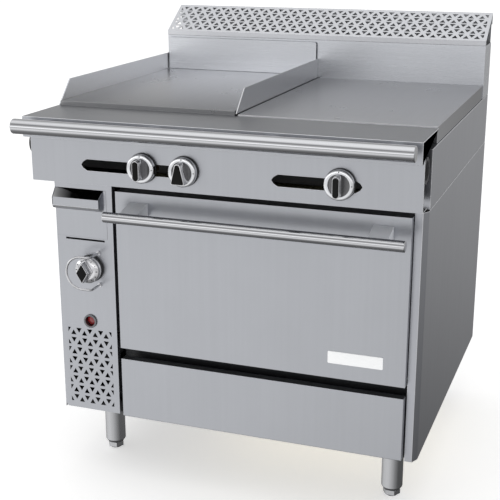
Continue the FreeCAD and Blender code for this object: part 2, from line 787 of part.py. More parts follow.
# ---------------------------------------------------------------- service panel and its parts
def service_panel():
    left = size("service_left")
    right = size("service_right")
    bottom = size("service_bottom")
    top = size("panel_bottom - 1")
    depth = size("sheet")
    corner = 10
    points = [
        (left + corner, bottom), (right, bottom), (right, top), (left, top),
        (left, size("cover_recess_top")), (size("cover_right"), size("cover_recess_top")),
        (size("cover_right"), size("cover_bottom")), (left, size("cover_bottom")),
        (left, bottom + corner),
    ]
    start = [FreeCAD.Vector(x - left, z - bottom, 0) for x, z in points]
    edges = [Part.LineSegment(a, b).toShape() for a, b in zip(start, start[1:])]
    middle = FreeCAD.Vector(corner * (1 - 0.5 ** 0.5), corner * (1 - 0.5 ** 0.5), 0)
    edges.append(Part.Arc(start[-1], middle, start[0]).toShape())
    outline = Part.Face(Part.Wire(edges))

    vent_width = size("vent_right - vent_left")
    vent_height = size("vent_rows * vent_row")
    holes = triangle_holes(vent_width, vent_height, size("vent_pitch"), size("vent_row"),
                           size("vent_hole"))
    for hole in holes:
        hole.translate(FreeCAD.Vector(size("vent_left") - left, size("vent_bottom") - bottom, 0))
    for x, z, radius in (("oven_knob_x", "oven_knob_z", 12.0),
                         ("button_x", "button_z", size("button_bezel_radius - 3"))):
        circle = Part.makeCircle(radius, FreeCAD.Vector(size(x) - left, size(z) - bottom, 0))
        holes.append(Part.Face(Part.Wire(circle)))
    slot = Part.makePlane(size("cover_slot_right - cover_slot_left"), size("cover_slot_height"),
                          FreeCAD.Vector(size("cover_slot_left") - left,
                                         size("cover_bottom - 3 - cover_slot_height") - bottom, 0))
    holes.append(slot)
    plate = perforated(0, 0, depth, holes, outline)
    upright = FreeCAD.Rotation(FreeCAD.Vector(1, 0, 0), 90)
    plate.Placement = FreeCAD.Placement(
        FreeCAD.Vector(left, size(body_front) + depth, bottom), upright)
    reach = size("service_return")
    rim_height = size("cover_bottom - 4 - service_bottom") - corner
    rim = Part.makeBox(depth, reach, rim_height,
                       FreeCAD.Vector(left, size(body_front) + depth / 2, bottom + corner))
    hem = Part.makeBox(depth, reach, top - bottom - 2,
                       FreeCAD.Vector(right - depth, size(body_front) + depth / 2, bottom + 1))
    node("service_panel", shaped(plate.fuse([rim, hem]).removeSplitter()))


def access_cover():
    """A lift-off plate whose top edge bulges forward as a finger pull, open at the top."""
    gap = 0.6
    left = f"(service_left - {gap})"
    right = f"(cover_right - {gap})"
    back_face = f"({body_front} + sheet)"
    lip_front = f"({body_front} - cover_bulge)"
    knee_y = f"({body_front} - 0.88 * cover_bulge)"
    flat = box((left, body_front, "cover_bottom + 0.2"), (right, back_face, "cover_bend + 3"))
    outline = [
        (body_front, "cover_bend"), (knee_y, "cover_bend + 6"), (lip_front, "cover_bend + 10"),
        (lip_front, "cover_top"), (f"{lip_front} + sheet", "cover_top"),
        (f"{lip_front} + sheet", "cover_bend + 11"), (f"{knee_y} + sheet", "cover_bend + 8"),
        (back_face, "cover_bend + 2"),
    ]
    lip = padded("YZ", outline, left, f"{right} - {left}")
    cheek = [
        (lip_front, "cover_bend + 10"), (knee_y, "cover_bend + 6"), (body_front, "cover_bend"),
        (back_face, "cover_bend"), (back_face, f"cover_recess_top - {gap}"),
        (body_front, f"cover_recess_top - {gap}"), (lip_front, "cover_top"),
    ]
    left_cheek = padded("YZ", cheek, left, "sheet")
    right_cheek = padded("YZ", cheek, f"{right} - sheet", "sheet")
    node("access_cover", fuse(flat, lip, left_cheek, right_cheek))


def oven_knob():
    back_y = f"({body_front} - oven_bezel_depth - knob_gap)"
    dial_y = f"({back_y} - oven_dial_depth)"
    grip_y = f"({dial_y} - diamond_depth)"
    dial = fuse(
        cylinder("Y", "oven_dial_radius", "oven_dial_depth - 4", "oven_knob_x", f"{dial_y} + 4",
                 "oven_knob_z"),
        cone("Y", "oven_dial_radius - 4", "oven_dial_radius", 4, "oven_knob_x", dial_y, "oven_knob_z"),
    )
    stem = cylinder("Y", "stem_radius", 36, "oven_knob_x", f"{back_y} - 2", "oven_knob_z")
    grip = diamond("diamond_width", "diamond_height", grip_y, "diamond_depth + 2")
    pocket = diamond("diamond_width - 6", "diamond_height - 7", grip_y, "inlay_depth")
    inlay = diamond("diamond_width - 6", "diamond_height - 7", grip_y, "inlay_depth")
    node("oven_thermostat_knob", cut(fuse(dial, grip, stem), pocket))
    node("oven_thermostat_knob_inlay", inlay)

    casing = box(("oven_knob_x - 30", f"{body_front} + 12", "oven_knob_z - 38"),
                 ("oven_knob_x + 30", f"{body_front} + 62", "oven_knob_z + 38"))
    collar = cylinder("Y", 11, 12, "oven_knob_x", f"{body_front} + sheet", "oven_knob_z")
    stem_bore = cylinder("Y", "stem_radius + 0.1", 45, "oven_knob_x", f"{body_front} - 5",
                         "oven_knob_z")
    bulb_line = cylinder("Y", 3, 30, "oven_knob_x + 12", f"{body_front} + 60", "oven_knob_z + 20")
    node("oven_thermostat", cut(fuse(casing, collar, bulb_line), stem_bore))


def diamond(width, height, y, depth):
    x = "oven_knob_x"
    z = "oven_knob_z"
    outline = [
        (f"{x} - 3", f"{z} - ({height}) / 2"), (f"{x} + 3", f"{z} - ({height}) / 2"),
        (f"{x} + ({width}) / 2", z), (f"{x} + 3", f"{z} + ({height}) / 2"),
        (f"{x} - 3", f"{z} + ({height}) / 2"), (f"{x} - ({width}) / 2", z),
    ]
    return padded("XZ", outline, f"-({y} + {depth})", depth)


def wire_guard():
    """One bent wire: two legs from the panel, joined by a U that rings the knob."""
    wire = size("guard_wire") / 2
    radius = size("guard_radius")
    panel_y = size(body_front)
    reach = size("guard_reach")
    bend = 8
    leg_x = size("guard_leg_x")
    centre_x = size("oven_knob_x") - 2
    centre_z = size("oven_knob_z")
    loop_y = panel_y - reach

    def corner(sign):
        z = centre_z + sign * radius
        foot = FreeCAD.Vector(leg_x, panel_y, z)
        knee = FreeCAD.Vector(leg_x, loop_y + bend, z)
        turn = FreeCAD.Vector(leg_x - bend * (1 - 0.5 ** 0.5), loop_y + bend * (1 - 0.5 ** 0.5), z)
        start = FreeCAD.Vector(leg_x - bend, loop_y, z)
        tangent = FreeCAD.Vector(centre_x, loop_y, z)
        return foot, knee, turn, start, tangent

    top_points = corner(1)
    low_points = corner(-1)
    leftmost = FreeCAD.Vector(centre_x - radius, loop_y, centre_z)
    edges = [
        Part.LineSegment(top_points[0], top_points[1]).toShape(),
        Part.Arc(top_points[1], top_points[2], top_points[3]).toShape(),
        Part.LineSegment(top_points[3], top_points[4]).toShape(),
        Part.Arc(top_points[4], leftmost, low_points[4]).toShape(),
        Part.LineSegment(low_points[4], low_points[3]).toShape(),
        Part.Arc(low_points[3], low_points[2], low_points[1]).toShape(),
        Part.LineSegment(low_points[1], low_points[0]).toShape(),
    ]
    path = Part.Wire(edges)
    section = Part.Wire(Part.makeCircle(wire, top_points[0], FreeCAD.Vector(0, 1, 0)))
    rod = path.makePipeShell([section], True, False)
    collars = [Part.makeCylinder(wire + 2.2, 4, FreeCAD.Vector(leg_x, panel_y, points[0].z),
                                 FreeCAD.Vector(0, -1, 0)) for points in (top_points, low_points)]
    node("wire_guard", shaped(rod.fuse(collars).removeSplitter()))


def pilot_button():
    face_y = f"({body_front} - button_recess)"
    bezel = fuse(
        cylinder("Y", "button_bezel_radius", "button_recess", "button_x", face_y, "button_z"),
        cylinder("Y", "button_bezel_radius - 3.1", 34, "button_x", face_y, "button_z"),
    )
    bore = cylinder("Y", "button_radius + button_play", 60, "button_x", f"{face_y} - 5", "button_z")
    node("pilot_button_bezel", cut(bezel, bore))
    button_y = f"({face_y} + 9)"
    node("pilot_button", cylinder("Y", "button_radius", "button_length", "button_x", button_y,
                                  "button_z"))
    valve_y = f"({button_y} + button_length + button_travel + 1)"
    casing = box(("button_x - 20", valve_y, "button_z - 26"),
                 ("button_x + 20", f"{valve_y} + 55", "button_z + 26"))
    inlet = cylinder("Z", 9, 40, "button_x", f"{valve_y} + 28", "button_z + 20")
    outlet = cylinder("Z", 9, 40, "button_x", f"{valve_y} + 28", "button_z - 60")
    node("oven_safety_valve", fuse(casing, inlet, outlet))


# ---------------------------------------------------------------- oven
def oven():
    plate = box(("service_right + 6", frame_front, "body_bottom + 30"),
                (f"{half} - 10", f"{frame_front} + front_frame_thickness", "panel_bottom - 4"))
    mouth = box((opening_left, f"{frame_front} - 5", "oven_opening_bottom"),
                (opening_right, f"{frame_front} + 20", "oven_opening_top"))
    node("oven_front_frame", cut(plate, mouth))

    frame_back = f"({frame_front} + front_frame_thickness)"
    low = (f"{opening_left} - sheet", frame_back, "cavity_bottom")
    high = (f"{opening_right} + sheet", cavity_back, "oven_opening_top + sheet")
    inside = box((opening_left, f"{low[1]} - 1", "cavity_bottom + sheet"),
                 (opening_right, f"{high[1]} - sheet", "oven_opening_top"))
    def flue_port():
        return box(("oven_centre - flue_width / 2 + 40", f"{high[1]} - 10", "flue_bottom + 12"),
                   ("oven_centre + flue_width / 2 - 40", f"{high[1]} + insulation + 10",
                    "flue_bottom + throat_height - 18"))

    node("oven_cavity", cut(box(low, high), inside, flue_port()))

    outer = box((f"{low[0]} - insulation", frame_back, "cavity_bottom - insulation"),
                (f"{high[0]} + insulation", f"{high[1]} + insulation", "panel_bottom - 4"))
    liner_space = box((low[0], f"{low[1]} - 1", low[2]), (high[0], high[1], high[2]))
    node("oven_insulation", cut(outer, liner_space, flue_port()))

    deck = box((f"{opening_left} + 3", f"{frame_back} + 4", "deck_height"),
               (f"{opening_right} - 3", f"{cavity_back} - 30", "deck_height + 3"))
    skirts = []
    for x in (f"{opening_left} + 3", f"{opening_right} - 6"):
        skirts.append(box((x, f"{frame_back} + 4", "cavity_bottom + sheet"),
                          (f"{x} + 3", f"{cavity_back} - 30", "deck_height + 1")))
    node("oven_deck", fuse(deck, *skirts))

    node("oven_burner", cut(
        cylinder("Y", 22, 480, "oven_centre", f"{frame_back} + 40", "cavity_bottom + 45"),
        cylinder("Y", 19, 460, "oven_centre", f"{frame_back} + 30", "cavity_bottom + 45"),
    ))


def flue():
    """A throat from the back of the oven and a duct up into the backguard, open at both ends."""
    wall = 2
    left = "oven_centre - flue_width / 2"
    right = "oven_centre + flue_width / 2"
    near = f"({backguard_front} + sheet + 3)"
    far = f"({back} - 2 * sheet - 8)"
    throat_start = f"({cavity_back} + insulation)"
    riser = box((left, near, "flue_bottom"), (right, far, "backguard_top - 20"))
    throat = box((left, throat_start, "flue_bottom"),
                 (right, f"{near} + 5", "flue_bottom + throat_height"))
    riser_space = box((f"{left} + {wall}", f"{near} + {wall}", f"flue_bottom + {wall}"),
                      (f"{right} - {wall}", f"{far} - {wall}", "backguard_top"))
    throat_space = box((f"{left} + {wall}", f"{throat_start} - 5", f"flue_bottom + {wall}"),
                       (f"{right} - {wall}", f"{near} + 8", f"flue_bottom + throat_height - {wall}"))
    node("flue_duct", cut(fuse(riser, throat), riser_space, throat_space))


def rack_guides():
    sides = []
    start_y = f"({frame_front} + 30)"
    end_y = f"({cavity_back} - 45)"
    for wall, inward in ((opening_left, 1), (opening_right, -1)):
        post_near = f"({wall} + {inward * 3})"
        rods = []
        for y in (start_y, end_y):
            rods.append(cylinder("Z", 3, "oven_opening_top - deck_height - 30", post_near,
                                 y, "deck_height + 10"))
        for height in ("lower_rack_height", "upper_rack_height"):
            near = f"{wall}" if inward > 0 else f"{wall} - 14"
            rods.append(box((near, f"{start_y} - 3", f"{height} - 5.5"),
                            (f"{near} + 14", f"{end_y} + 3", f"{height} - 3.5")))
        sides.append(fuse(*rods))
    node("rack_guides", group(*sides))


def oven_racks():
    wire = size("rack_wire") / 2
    left = size(f"{opening_left} + 6")
    right = size(f"{opening_right} - 6")
    near = size(f"{frame_front} + 34")
    far = size(f"{cavity_back} - 50")
    racks = []
    for height in (size("lower_rack_height"), size("upper_rack_height")):
        level = height - 0.5
        rods = []
        for y in (near, (near + far) / 2, far):
            rods.append(Part.makeCylinder(wire, right - left, FreeCAD.Vector(left, y, level),
                                          FreeCAD.Vector(1, 0, 0)))
        count = 17
        for step in range(count):
            x = left + wire + (right - left - 2 * wire) * step / (count - 1)
            rods.append(Part.makeCylinder(wire * 0.7, far - near, FreeCAD.Vector(x, near, level),
                                          FreeCAD.Vector(0, 1, 0)))
        racks.append(shaped(rods[0].fuse(rods[1:])))
    node("oven_racks", group(*racks))


# ---------------------------------------------------------------- oven door
def door():
    shell = box((door_left, door_front, "door_bottom"), (door_right, door_back, "door_top"))
    hollow = box((f"{door_left} + sheet", f"{door_front} + sheet", "door_bottom + sheet"),
                 (f"{door_right} - sheet", f"{door_back} + 1", "door_top - sheet"))
    pin_holes = [cylinder("X", "hinge_pin_radius", 20, x, hinge_y, "hinge_height")
                 for x in (f"{door_left} - 10", f"{door_right} - 10")]
    node("door_outer_panel", cut(shell, hollow, *pin_holes))

    liner_front = f"({door_back} - 2)"
    pad_low = (f"{door_left} + 24", f"{door_front} + sheet", "door_bottom + 24")
    pad_high = (f"{door_right} - 24", liner_front, "door_top - 8")
    node("door_insulation", box(pad_low, pad_high))
    liner = box((f"{door_left} + sheet", liner_front, "door_bottom + sheet"),
                (f"{door_right} - sheet", door_back, "door_top - sheet"))
    node("door_inner_liner", liner)

    gasket_outer = box((f"{opening_left} - 14", door_back, "oven_opening_bottom - 2"),
                       (f"{opening_right} + 14", f"{door_back} + gasket_thickness",
                        "oven_opening_top + 12"))
    gasket_inner = box((f"{opening_left} - 2", f"{door_back} - 1", "oven_opening_bottom + 12"),
                       (f"{opening_right} + 2", f"{door_back} + gasket_thickness + 1",
                        "oven_opening_top - 2"))
    node("door_gasket", cut(gasket_outer, gasket_inner))

    pins = []
    receivers = []
    for side, sign in ((door_left, -1), (door_right, 1)):
        reach = "hinge_pin_reach"
        start = f"({side} - {reach})" if sign < 0 else f"({side} - 16)"
        pins.append(cylinder("X", "hinge_pin_radius", f"{reach} + 16", start, hinge_y,
                             "hinge_height"))
        near = f"({side} - {reach} - 3)" if sign < 0 else f"({side} + 2)"
        block = box((near, f"{hinge_y} - 7", "hinge_height - 13"),
                    (f"{near} + {reach} + 1", frame_front, "hinge_height + 13"))
        bore = cylinder("X", "hinge_pin_radius + hinge_play", 40, f"{near} - 5", hinge_y,
                        "hinge_height")
        receivers.append(cut(block, bore))
    node("door_hinge_pins", group(*pins))
    node("hinge_receivers", group(*receivers))

    node("door_handle_bar", cylinder("X", "handle_diameter / 2", "handle_length",
                                     "oven_centre - handle_length / 2", handle_y, "handle_height"))
    brackets = []
    for centre in (f"({door_left} + bracket_inset)", f"({door_right} - bracket_inset)"):
        outline = [
            (door_front, "handle_height - 17"), (door_front, "handle_height + 24"),
            (f"{door_front} - 4", "handle_height + 24"),
            (f"{handle_y} + 6", "handle_height + 11"), (handle_y, "handle_height"),
            (f"{handle_y} + 6", "handle_height - 7"), (f"{door_front} - 22", "handle_height - 2"),
            (f"{door_front} - 8", "handle_height - 7"), (f"{door_front} - 2", "handle_height - 17"),
        ]
        arm = padded("YZ", outline, f"{centre} - bracket_width / 2", "bracket_width")
        bore = cylinder("X", "handle_diameter / 2", "bracket_width + 20",
                        f"{centre} - bracket_width / 2 - 10", handle_y, "handle_height")
        brackets.append(cut(arm, bore))
    node("door_handle_brackets", group(*brackets))

    node("door_badge", box(("badge_left", f"{door_front} - 2.2", "badge_bottom"),
                           ("badge_left + badge_width", door_front, "badge_bottom + badge_height")))


for build in (base_frame, legs_and_feet, lower_sides, upper_sides, rear_panel, kick_panel, front_rail,
              control_panel, gas_train, top_knobs, griddle, hot_top, burner_box, top_burners,
              backguard, backguard_cap, service_panel, access_cover, oven_knob, wire_guard,
              pilot_button, oven, flue, rack_guides, oven_racks, door):
    build()

doc.recompute()
for item in doc.Objects:
    if "Invalid" in item.State or "Error" in item.State:
        raise RuntimeError(f"{item.Label} did not build: {item.State}")
for label, item in nodes.items():
    if item.Shape.isNull() or not item.Shape.isValid() or not item.Shape.Solids:
        raise RuntimeError(f"{label} is not a valid solid")

os.makedirs("parts", exist_ok=True)
for label, item in nodes.items():
    item.Shape.exportStep(f"parts/{label}.step")
    bounds = item.Shape.BoundBox
    print(f"{label:28s} {len(item.Shape.Solids)} solids, volume {item.Shape.Volume / 1000:9.1f} cm3, "
          f"x {bounds.XMin:.1f}..{bounds.XMax:.1f} y {bounds.YMin:.1f}..{bounds.YMax:.1f} "
          f"z {bounds.ZMin:.1f}..{bounds.ZMax:.1f}")
print(len(nodes), "nodes")
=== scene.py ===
import json
import math

import bmesh
import bpy
from mathutils import Matrix, Vector


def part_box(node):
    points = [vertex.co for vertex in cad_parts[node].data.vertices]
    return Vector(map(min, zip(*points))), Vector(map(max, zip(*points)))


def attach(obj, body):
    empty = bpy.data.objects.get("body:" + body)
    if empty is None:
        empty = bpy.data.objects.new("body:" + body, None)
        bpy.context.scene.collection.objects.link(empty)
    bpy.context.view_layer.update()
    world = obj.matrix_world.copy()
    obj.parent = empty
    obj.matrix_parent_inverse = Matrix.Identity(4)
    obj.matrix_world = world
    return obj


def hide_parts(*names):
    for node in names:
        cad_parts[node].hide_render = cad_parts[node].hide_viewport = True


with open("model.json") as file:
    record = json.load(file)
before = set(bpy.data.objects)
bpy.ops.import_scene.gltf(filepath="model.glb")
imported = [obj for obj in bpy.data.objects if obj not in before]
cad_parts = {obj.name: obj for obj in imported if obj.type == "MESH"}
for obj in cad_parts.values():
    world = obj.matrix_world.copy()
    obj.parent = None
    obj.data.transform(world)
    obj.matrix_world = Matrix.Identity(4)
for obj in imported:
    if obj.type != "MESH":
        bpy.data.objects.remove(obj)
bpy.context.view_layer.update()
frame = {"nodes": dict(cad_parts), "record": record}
nodes = frame["nodes"]
scene = bpy.context.scene
bodyOf = {name: body for body, names in frame["record"]["behaviour"]["bodies"].items() for name in names}
slotOf = {part["node"]: part["material_slot"] for part in frame["record"]["subparts"]}
print("frame loaded:", len(nodes), "nodes")


# camera: place in metres, turn and dip in degrees, lens and sensor in mm
cameraSet = {"place": (0.850, -2.5175, 1.334), "turn": 19.88, "dip": 16.79, "lens": 77.49, "sensor": 36,
             "shift": (-0.0022, -0.0028), "reach": 100}


def makeCamera():
    data = bpy.data.cameras.new("camera")
    data.sensor_width = cameraSet["sensor"]
    data.lens = cameraSet["lens"]
    data.shift_x, data.shift_y = cameraSet["shift"]
    data.clip_end = cameraSet["reach"]
    camera = bpy.data.objects.new("camera", data)
    camera.location = cameraSet["place"]
    camera.rotation_euler = (math.radians(90 - cameraSet["dip"]), 0, math.radians(cameraSet["turn"]))
    scene.collection.objects.link(camera)
    scene.camera = camera


# brightness of the studio against height, from straight down (-1) to straight up (1)
studio = {
    "front": [(-1, 0.25), (-0.75, 0.40), (-0.62, 0.75), (-0.5, 1.15), (-0.35, 1.16), (-0.25, 0.98),
              (-0.19, 0.77), (-0.05, 0.74), (0.03, 1.75), (0.13, 1.80), (0.20, 0.95), (0.36, 0.68),
              (0.46, 0.38), (0.62, 0.38), (0.70, 0.90), (0.78, 1.3), (0.865, 1.80), (0.94, 1.5), (1, 1.4)],
    "back": [(-1, 0.05), (-0.6, 0.08), (-0.45, 0.14), (-0.3, 0.32), (-0.2, 0.40), (-0.08, 0.42),
             (0.05, 0.62), (0.3, 0.70), (0.55, 0.50), (0.75, 0.40), (0.875, 0.40), (0.925, 0.95), (1, 1.2)],
    "turn": [(-0.5, 0.0), (0.2, 0.4), (0.78, 0.85), (0.94, 1.0)],    # back to front, along frontWay
    "frontWay": (-0.75, -0.65, 0.0), "strength": 2.0, "backdrop": 1.0}
floorLook = {"size": 60, "level": 0.86, "glow": 0.50, "roughness": 0.9, "shine": 0.1}


def makeWorld():
    world = bpy.data.worlds.new("studio")
    world.use_nodes = True
    scene.world = world
    tree = world.node_tree
    tree.nodes.clear()
    output = tree.nodes.new("ShaderNodeOutputWorld")
    backdrop = tree.nodes.new("ShaderNodeBackground")
    room = tree.nodes.new("ShaderNodeBackground")
    backdrop.inputs["Color"].default_value = (studio["backdrop"],) * 3 + (1,)
    room.inputs["Strength"].default_value = studio["strength"]
    direction = tree.nodes.new("ShaderNodeTexCoord").outputs["Generated"]
    split = tree.nodes.new("ShaderNodeSeparateXYZ")
    tree.links.new(direction, split.inputs[0])
    turned = tree.nodes.new("ShaderNodeVectorMath")
    turned.operation = "DOT_PRODUCT"
    turned.inputs[1].default_value = studio["frontWay"]
    tree.links.new(direction, turned.inputs[0])

    def ramp(value, stops, scale):    # value runs from -1 to 1
        unit = tree.nodes.new("ShaderNodeMapRange")
        unit.inputs["From Min"].default_value = -1
        tree.links.new(value, unit.inputs["Value"])
        node = tree.nodes.new("ShaderNodeValToRGB")
        fillRamp(node, [((at + 1) / 2, (level / scale,) * 3) for at, level in stops])
        tree.links.new(unit.outputs["Result"], node.inputs[0])
        return node.outputs[0]

    mixer = tree.nodes.new("ShaderNodeMix")
    mixer.data_type = "RGBA"
    tree.links.new(ramp(turned.outputs["Value"], studio["turn"], 1), mixer.inputs[0])
    tree.links.new(ramp(split.outputs["Z"], studio["back"], studio["strength"]), mixer.inputs[6])
    tree.links.new(ramp(split.outputs["Z"], studio["front"], studio["strength"]), mixer.inputs[7])
    tree.links.new(mixer.outputs[2], room.inputs["Color"])
    path = tree.nodes.new("ShaderNodeLightPath")
    choose = tree.nodes.new("ShaderNodeMixShader")
    tree.links.new(path.outputs["Is Camera Ray"], choose.inputs[0])
    tree.links.new(room.outputs[0], choose.inputs[1])
    tree.links.new(backdrop.outputs[0], choose.inputs[2])
    tree.links.new(choose.outputs[0], output.inputs["Surface"])


def makeFloor():
    mesh = bpy.data.meshes.new("floor")
    bm = bmesh.new()
    bmesh.ops.create_grid(bm, x_segments=1, y_segments=1, size=floorLook["size"] / 2)
    bm.to_mesh(mesh)
    bm.free()
    floor = bpy.data.objects.new("floor", mesh)
    scene.collection.objects.link(floor)
    material = bpy.data.materials.new("pale floor")
    material.use_nodes = True
    shader = material.node_tree.nodes["Principled BSDF"]
    shader.inputs["Base Color"].default_value = (floorLook["level"],) * 3 + (1,)
    shader.inputs["Roughness"].default_value = floorLook["roughness"]
    shader.inputs["Specular IOR Level"].default_value = floorLook["shine"]
    shader.inputs["Emission Color"].default_value = (1, 1, 1, 1)
    shader.inputs["Emission Strength"].default_value = floorLook["glow"]
    mesh.materials.append(material)
    floor.visible_glossy = False    # the steel mirrors the studio, not the floor


def fillRamp(node, stops):
    elements = node.color_ramp.elements
    while len(elements) > 1:
        elements.remove(elements[-1])
    elements[0].position = stops[0][0]
    elements[0].color = (*stops[0][1], 1)
    for at, color in stops[1:]:
        elements.new(at).color = (*color, 1)


# a material built up from patterns that stay with its piece
class Finish:
    def __init__(self, name, color, metallic, roughness):
        self.material = bpy.data.materials.new(name)
        self.material.use_nodes = True
        self.tree = self.material.node_tree
        self.shader = self.tree.nodes["Principled BSDF"]
        self.shader.inputs["Base Color"].default_value = (*color, 1)
        self.shader.inputs["Metallic"].default_value = metallic
        self.shader.inputs["Roughness"].default_value = roughness
        self.coords = self.tree.nodes.new("ShaderNodeTexCoord").outputs["Object"]
        self.bumped = None

    def set(self, socket, value):
        self.shader.inputs[socket].default_value = value

    def noise(self, stretch, scale, detail=3, rough=0.55):
        mapping = self.tree.nodes.new("ShaderNodeMapping")
        mapping.inputs["Scale"].default_value = stretch
        self.tree.links.new(self.coords, mapping.inputs["Vector"])
        node = self.tree.nodes.new("ShaderNodeTexNoise")
        node.inputs["Scale"].default_value = scale
        node.inputs["Detail"].default_value = detail
        node.inputs["Roughness"].default_value = rough
        self.tree.links.new(mapping.outputs[0], node.inputs["Vector"])
        return node.outputs["Fac"]

    def ramp(self, value, stops):
        node = self.tree.nodes.new("ShaderNodeValToRGB")
        fillRamp(node, stops)
        self.tree.links.new(value, node.inputs[0])
        return node.outputs["Color"]

    def spread(self, value, low, high, start=0.3, end=0.7):
        node = self.tree.nodes.new("ShaderNodeMapRange")
        node.inputs["From Min"].default_value = start
        node.inputs["From Max"].default_value = end
        node.inputs["To Min"].default_value = low
        node.inputs["To Max"].default_value = high
        self.tree.links.new(value, node.inputs["Value"])
        return node.outputs["Result"]

    def multiply(self, first, second):
        node = self.tree.nodes.new("ShaderNodeMix")
        node.data_type = "RGBA"
        node.blend_type = "MULTIPLY"
        node.inputs[0].default_value = 1
        self.tree.links.new(first, node.inputs[6])
        self.tree.links.new(second, node.inputs[7])
        return node.outputs[2]

    def paintShadeAlong(self, color, axis, ends, levels):    # painted light and shade: color times a grey that changes along one axis
        place = self.tree.nodes.new("ShaderNodeSeparateXYZ")
        self.tree.links.new(self.coords, place.inputs[0])
        level = self.spread(place.outputs[axis], levels[0], levels[1], *ends)
        grey = self.tree.nodes.new("ShaderNodeCombineColor")
        for socket in grey.inputs[:3]:
            self.tree.links.new(level, socket)
        return self.multiply(color, grey.outputs[0])

    def link(self, value, socket):
        self.tree.links.new(value, self.shader.inputs[socket])

    def bump(self, value, strength, depth):
        node = self.tree.nodes.new("ShaderNodeBump")
        node.inputs["Strength"].default_value = strength
        node.inputs["Distance"].default_value = depth
        self.tree.links.new(value, node.inputs["Height"])
        if self.bumped:
            self.tree.links.new(self.bumped, node.inputs["Normal"])
        self.bumped = node.outputs["Normal"]
        self.tree.links.new(self.bumped, self.shader.inputs["Normal"])


# grain is the stretch along x, y and z: small along the brush lines, large across them
upGrain = (1.0, 1.0, 0.012)
longGrain = (0.012, 1.0, 1.0)
deepGrain = (1.0, 0.012, 1.0)
noGrain = (1, 1, 1)

# a fade is painted shade: where along x a sheet starts to be painted dark and where it is fully dark
brushedLooks = {
    "front_stainless": {"color": (0.495, 0.508, 0.54), "roughness": 0.32, "streaks": 0.012},
    "side_stainless": {"color": (0.49, 0.50, 0.535), "roughness": 0.30, "streaks": 0.03},
    "leg_steel": {"color": (0.50, 0.505, 0.52), "roughness": 0.22, "streaks": 0.04},
    "knob_dish": {"color": (0.15, 0.15, 0.155), "roughness": 0.24, "streaks": 0.60},
    # the ledge steel is darker than the front steel: painted shade
    "ledge_stainless": {"color": (0.262, 0.267, 0.281), "roughness": 0.36, "streaks": 0.03,
                        "grain": longGrain},
    # the splash steel is paler than the front steel: painted light
    "splash_stainless": {"color": (0.69, 0.706, 0.745), "roughness": 0.26, "streaks": 0.02,
                         "grain": longGrain},
    # a near-white copy of the steel: painted highlight on bright edges and painted light under the cover's
    # bend
    "bentSheet": {"color": (0.95, 0.96, 0.985), "roughness": 0.45, "streaks": 0.01, "grain": longGrain},
    # a near-white copy of the steel for the pull's ramp: painted light at its left end, then painted shade
    # along x
    "pullSheet": {"color": (0.98, 0.98, 0.985), "roughness": 0.45, "streaks": 0.01, "grain": longGrain,
                  "fade": (-0.443, -0.385)},
    # a near-white copy of the splash steel for the left splash's inner face: painted light
    "sideSplash": {"color": (0.99, 0.99, 0.995), "roughness": 0.34, "streaks": 0.01, "grain": longGrain},
    # a darker copy of the splash steel for the divider: painted shade
    "dividerSteel": {"color": (0.60, 0.605, 0.62), "roughness": 0.28, "streaks": 0.03, "grain": longGrain},
    # the cap steel is paler than the front steel: painted light
    "cap_stainless": {"color": (0.70, 0.71, 0.74), "roughness": 0.42, "streaks": 0.02, "grain": longGrain},
}
brushWork = {"lines": 900, "streaks": 120, "clouds": 7, "handled": 0.98, "paintedShadeLevel": 0.01, "smoother": 0.015,
             "rougher": 0.02, "bump": 0.03, "depth": 0.0001}


def brushedSteel(name, color, roughness, streaks, grain=upGrain, fade=None):
    finish = Finish(name, color, 1.0, roughness)
    lines = finish.noise(grain, brushWork["lines"], 2)
    bands = finish.noise(grain, brushWork["streaks"], 3)
    clouds = finish.noise(noGrain, brushWork["clouds"], 3)
    dark = tuple((1 - streaks) * value for value in color)
    pale = tuple((1 + streaks) * value for value in color)
    tint = finish.ramp(bands, [(0.3, dark), (0.7, pale)])
    handled = finish.ramp(clouds, [(0.35, (brushWork["handled"],) * 3), (0.65, (1, 1, 1))])
    tint = finish.multiply(tint, handled)
    # painted shade: the sheet is painted darker along x
    if fade:
        tint = finish.paintShadeAlong(tint, "X", fade, (1.0, brushWork["paintedShadeLevel"]))
    finish.link(tint, "Base Color")
    finish.link(finish.spread(lines, roughness - brushWork["smoother"], roughness + brushWork["rougher"]),
                "Roughness")
    finish.bump(lines, brushWork["bump"], brushWork["depth"])
    return finish.material


# the levels at the front and at the back of a plate are painted reflection and shade, and ends are the y of
# both: the griddle is painted dark at the front and pale at the back, where the back splash shows in it,
# and the hot top is painted paler at the front
plateLooks = {"cooking_plate": {"paintedReflection": (0.34, 1.60)}, "hotPlate": {"paintedReflection": (1.15, 0.80)}}
plateWork = {"ends": (-0.36, 0.26), "color": (0.52, 0.525, 0.54), "dark": (0.545, 0.55, 0.565),
             "pale": (0.565, 0.57, 0.585), "sheen": (0.74, 0.74, 0.745), "roughness": (0.27, 0.30),
             "swirl": 9, "grinding": 320, "groove": 0.95, "bump": 0.04, "depth": 0.0002}


